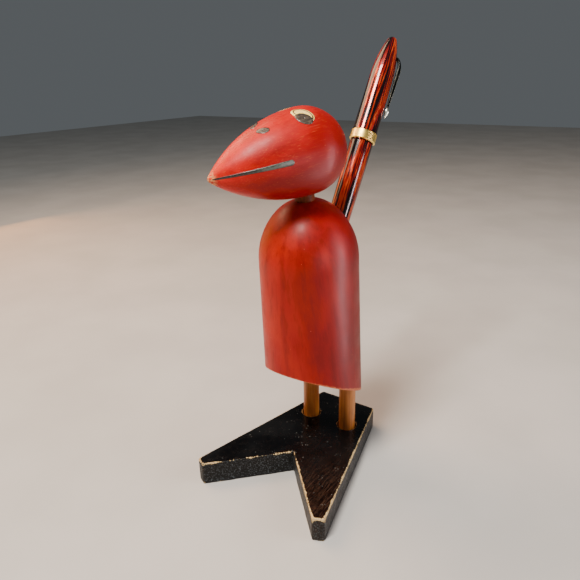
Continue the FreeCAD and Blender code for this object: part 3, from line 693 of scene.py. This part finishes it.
def ring_film(name, skin, side, oval, inner, lift, material, rings=5, spokes=56):
    """A coat on the head between an oval and its inner share. side is 1 or -1 and mirrors it."""
    grid = []
    for step in shares(rings):
        share = between(inner, 1.0, step)
        edge = min(step, 1 - step)
        height = lift * (0.6 + 0.4 * min(1.0, (1 - share) * oval.crown + edge))
        line = []
        for j in range(spokes):
            turn = 2 * math.pi * j / spokes * side
            a = oval.half_length * share * math.cos(turn)
            b = oval.half_width * share * math.sin(turn)
            along = oval.back + a * math.cos(oval.tilt) - b * math.sin(oval.tilt)
            over = side * (oval.arc + a * math.sin(oval.tilt) + b * math.cos(oval.tilt))
            top = skin.point(along, over, 0.0, height)
            line.append((top, skin.point(along, over, 0.0, BURIED)))
        grid.append(line)
    return film(name, grid, True, material)


def mouth_film(name, skin, side, lift, material, steps=70, across_steps=6):
    """The mouth line on one side of the head."""
    middle = side * MOUTH_ANGLE
    grid = []
    for share in shares(steps):
        back = between(MOUTH_START, MOUTH_END, share)
        line = []
        for step in shares(across_steps):
            place = 2 * step - 1
            arc = side * mouth_width(share) / 2 * place
            height = lift * (1 - 0.5 * place * place)
            top = skin.point(back, arc, middle, height)
            line.append((top, skin.point(back, arc, middle, BURIED)))
        grid.append(line)
    if side < 0:
        grid = [line[::-1] for line in grid]
    return film(name, grid, False, material)


def make_face():
    """Eyes, nostrils and mouth line, painted by hand on both sides of the head.

    The sides differ a little: the right eye is shift lower, and its nostril nearer the crown.
    """
    skin = Skin()
    cream = paint_finish("cream_enamel", srgb(252, 226, 128), srgb(232, 190, 96), 0.3)
    brown = paint_finish("brown_enamel", srgb(60, 34, 20), srgb(92, 56, 34), 0.35)
    # The last colour of black_enamel is a painted reflection: the pale sheen on the back half of
    # the mouth line.
    black = paint_finish("black_enamel", srgb(20, 17, 16), srgb(60, 50, 42), 0.3, srgb(84, 92, 83))
    faded = paint_finish("faded_enamel", srgb(52, 45, 38), srgb(84, 72, 58), 0.34)
    for side, word, shift in FACE_SIDES:
        eye = Oval(33.3, 5.6 + shift, 4.25, 2.6, 1.12, 0.0)
        line = Oval(33.45, 5.6 + shift, 3.9, 2.05, 1.20, 0.0)
        pupil = Oval(32.6, 7.6 + shift, 3.1, 2.15, 1.0, 1.0)
        nostril = Oval(19.5, 4.05 - 1.45 * shift, 2.3, 1.25, 0.74, 1.0)
        ring_film(f"eye_{word}_white", skin, side, eye, 0.02, 0.05, cream)
        ring_film(f"eye_{word}_line", skin, side, line, 0.86, 0.08, brown)
        ring_film(f"eye_{word}_pupil", skin, side, pupil, 0.02, 0.12, faded)
        ring_film(f"nostril_{word}", skin, side, nostril, 0.02, 0.06, faded)
        mouth_film(f"mouth_{word}", skin, side, 0.06, black)


def mouth_width(share):
    """Full width of the mouth line: narrow at the beak, widest near its rounded back end."""
    body = 0.55 + 1.25 * share
    past = max(0.0, (share - MOUTH_ROUND) / (1 - MOUTH_ROUND))
    ends = math.sqrt(max(0.0, 1 - past**2))
    front = min(1.0, 0.25 + share / 0.05)
    return max(0.06, body * ends * front)


# In millimetres: the size of the plate's faces, how far an edge stands out of a smoothed copy,
# where the worn ring round a leg is, the size of rubs and saw marks, and how deep wear goes
PLATE_VOXEL = 0.32
EDGE_BULGE = 0.12
RING_GAP, RING_SPREAD = 0.75, 0.4
RUB_SIZE, SAW_SIZE = 2.2, 0.7
EDGE_SINK, RUB_SINK, SAW_SINK = 0.05, 0.10, 0.035

# How worn the ring is, and the squeeze in Z that draws a saw mark out upwards
RING_WEAR = 0.64
SAW_SQUEEZE = 0.35


def fine_copy(source):
    """The mesh of source, made again of small even faces."""
    rough = bpy.data.objects.new("plate_source", source.data.copy())
    bpy.context.scene.collection.objects.link(rough)
    remesh = rough.modifiers.new("fine_skin", "REMESH")
    remesh.mode = "VOXEL"
    remesh.voxel_size = PLATE_VOXEL * MM
    remesh.use_smooth_shade = True
    graph = bpy.context.evaluated_depsgraph_get()
    mesh = bpy.data.meshes.new_from_object(rough.evaluated_get(graph))
    bpy.data.objects.remove(rough)
    return mesh


def rows_of(items, what, columns, kind=float):
    values = np.zeros(len(items) * columns, kind)
    items.foreach_get(what, values)
    return values.reshape(-1, columns)


def spread(values, edges, times):
    """Each row of values averaged with its neighbours' rows, times over."""
    count = len(values)
    near, far = edges.T
    degree = np.bincount(edges.ravel(), minlength=count)[:, None]
    for _ in range(times):
        total = np.zeros_like(values)
        for here, there in ((near, far), (far, near)):
            for k in range(values.shape[1]):
                total[:, k] += np.bincount(here, values[there, k], count)
        values = (values + total) / (degree + 1)
    return values


def rise(values, start, end):
    """0 up to start, 1 from end on, and a straight slope between."""
    return np.clip((values - start) / (end - start), 0, 1)


def noise_at(points):
    return np.array([noise.noise(Vector(p)) for p in points])


def plate_wear(points, edge):
    """How much paint is gone: along the edges, most at the left toe and tips, and at the legs."""
    top_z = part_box("base_plate")[1].z
    x, y, _ = (points / MM).T
    high = rise(points[:, 2], top_z / 2, top_z)
    front = rise(-y, 2, 47)
    left_toe = rise(x, -6, 18)
    tips = rise(-y, 44, 52)
    wear = edge * (0.30 + 0.15 * high + 0.05 * front + 0.17 * left_toe * high + 0.12 * tips)
    for centre in LEG_CENTRES:
        gap = np.hypot(points[:, 0] - centre.x, points[:, 1] - centre.y) - LEG_RADIUS
        ring = np.exp(-(((gap / MM - RING_GAP) / RING_SPREAD) ** 2))
        on_top = points[:, 2] > top_z - 0.4 * MM
        wear = np.maximum(wear, ring * RING_WEAR * on_top)
    return wear


def make_plate():
    """The base plate as a fine skin, worn along its edges and saw-marked on its sides."""
    mesh = fine_copy(frame["nodes"]["base_plate"])
    points = rows_of(mesh.vertices, "co", 3)
    normals = rows_of(mesh.vertices, "normal", 3)
    edges = rows_of(mesh.edges, "vertices", 2, int)
    convex = ((points - spread(points, edges, 8)) * normals).sum(1) / MM
    edge = np.clip(spread(convex[:, None], edges, 2)[:, 0] / EDGE_BULGE, 0, 1)
    side = np.clip(1.3 - 1.6 * np.abs(spread(normals, edges, 3)[:, 2]), 0, 1)
    wear = plate_wear(points, edge)
    rub = noise_at(points / (RUB_SIZE * MM))
    saw = noise_at(points * (1, 1, SAW_SQUEEZE) / (SAW_SIZE * MM))
    sink = edge * (EDGE_SINK + RUB_SINK * np.clip(rub, 0, 1))
    sink += side * (1 - edge) * SAW_SINK * (saw + 0.5)
    points = points - normals * sink[:, None] * MM
    points[:, 2] = np.maximum(points[:, 2], 0)
    mesh.vertices.foreach_set("co", points.ravel())
    for name, values in (("wear", wear), ("side", side)):
        attribute = mesh.attributes.new(name, "FLOAT", "POINT")
        attribute.data.foreach_set("value", values.astype(np.float32))
    mesh.materials.clear()
    mesh.materials.append(lacquer_finish())
    mesh.update()
    plate = bpy.data.objects.new("base_plate_painted", mesh)
    bpy.context.scene.collection.objects.link(plate)
    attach(plate, "stand")
    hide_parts("base_plate")


def make_clip(material):
    """Sprung metal clip: a strap that narrows downwards and ends in a drop."""
    spokes = 20
    square = 0.45
    wide = PEN_WAY.cross(CLIP_SIDE).normalized()
    points, faces = [], []
    for i, (reach, height, half_width, half_depth, lean) in enumerate(clip_path()):
        centre = PEN_BASE + (CLIP_SIDE * reach + PEN_WAY * height) * MM
        out = (CLIP_SIDE * math.cos(lean) + PEN_WAY * math.sin(lean)).normalized()
        for j in range(spokes):
            turn = 2 * math.pi * j / spokes
            c, s = math.cos(turn), math.sin(turn)
            a = half_width * math.copysign(abs(c) ** square, c)
            b = half_depth * math.copysign(abs(s) ** square, s)
            points.append(centre + (wide * a + out * b) * MM)
        if i:
            start, before = i * spokes, (i - 1) * spokes
            for j in range(spokes):
                k = (j + 1) % spokes
                faces.append((before + j, before + k, start + k, start + j))
    faces.append(tuple(reversed(range(spokes))))
    faces.append(tuple(range(len(points) - spokes, len(points))))
    clip = add_mesh("clip_strap", points, faces, material, "pen_cap")
    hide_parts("clip")


def clip_path():
    """Rows down the strap: reach, height, half width, half depth, lean of the face."""
    rows = []
    upright = math.pi / 2
    for share in shares(3):
        reach = between(CLIP_ROOT, CLIP_SHOULDER, share)
        rows.append((reach, CLIP_TOP, ROOT_WIDTH, 0.40, upright))
    for share in shares(14)[1:]:
        turn = upright * share
        reach = between(CLIP_SHOULDER, CLIP_BELLY, math.sin(turn))
        height = between(CLIP_BEND, CLIP_TOP, math.cos(turn))
        half_width = between(ROOT_WIDTH, BEND_WIDTH, math.sin(turn))
        half_depth = between(ROOT_DEPTH, BEND_DEPTH, share**2)
        rows.append((reach, height, half_width, half_depth, upright - turn))
    for share in shares(14)[1:]:
        reach = between(CLIP_BELLY, CLIP_FOOT, share**2)
        height = between(CLIP_BEND, DROP_TOP, share)
        half_width = between(BEND_WIDTH, FOOT_WIDTH, share)
        half_depth = between(BEND_DEPTH, FOOT_DEPTH, share)
        rows.append((reach, height, half_width, half_depth, 0.0))
    for share in shares(16)[1:]:
        swell = math.sin(math.pi * share**0.8) ** 0.8
        height = DROP_TOP - DROP_LENGTH * share
        half_width = max(0.10, FOOT_WIDTH * (1 - share) + DROP_WIDTH * swell)
        half_depth = max(0.08, FOOT_DEPTH * (1 - share) + DROP_DEPTH * swell)
        rows.append((CLIP_FOOT + 0.20 * swell, height, half_width, half_depth, 0.0))
    return rows


# The scene

make_camera()
make_floor()
make_world(srgb(200, 208, 214), 0.17)

# each panel's azimuth in degrees, height, distance and size in metres, power in watts, colour,
# and the height that it is turned to
softbox("key", -2, 0.62, 0.32, (0.17, 0.20), 7.8, (1.0, 0.93, 0.86), 0.09)
softbox("high_left", -88, 0.46, 0.36, (0.34, 0.30), 3.0, (1.0, 0.62, 0.38), 0.12)
softbox("amber_left", -95, 0.14, 0.50, (0.30, 0.26), 0.7, (1.0, 0.40, 0.08), 0.10)
softbox("window_right", 112, 0.30, 0.55, (0.30, 0.40), 2.2, (1.0, 0.92, 0.92), 0.09, sheen=False)
softbox("low_sheen", 68, 0.104, 0.30, (0.15, 0.08), 0.24, (1.0, 0.90, 0.90), 0.11, matte=False)
softbox("strip_sheen", 107, 0.070, 0.125, (0.016, 0.15), 0.25, (1.0, 0.78, 0.82), 0.07, matte=False)

make_plate()
make_face()
dress("body", body_finish())
dress("head", head_finish())
for leg_node in ("left_leg", "right_leg"):
    dress(leg_node, dowel_finish("leg_dowel", LIGHT_DOWEL, 0.25))
# The neck peg's dark tones are painted shade from the head above it.
dress("neck_peg", dowel_finish("neck_dowel_painted_shade", PAINTED_SHADE_DOWEL, 0.0))
dress("lower_barrel", celluloid_finish("celluloid_lower", 1.7))
dress("upper_barrel", celluloid_finish("celluloid_upper", 4.2))
dress("centre_band", metal_finish("pale_gold", srgb(254, 226, 128), srgb(222, 182, 88), 0.24))
dress("nose_cone", metal_finish("nose_metal", srgb(214, 205, 176), srgb(150, 132, 92), 0.22))
brass = metal_finish("turned_brass", srgb(206, 164, 82), srgb(132, 92, 38), 0.28)
for brass_node in ("coupling_bush", "guide_tube", "refill_carrier", "spiral_sleeve"):
    dress(brass_node, brass)
steel = metal_finish("ground_steel", srgb(196, 198, 202), srgb(120, 122, 126), 0.18)
for steel_node in ("refill_point", "carrier_pin"):
    dress(steel_node, steel)
dress("refill_tube", plastic_finish("refill_plastic", srgb(74, 84, 128), srgb(30, 34, 70)))
make_clip(clip_finish())
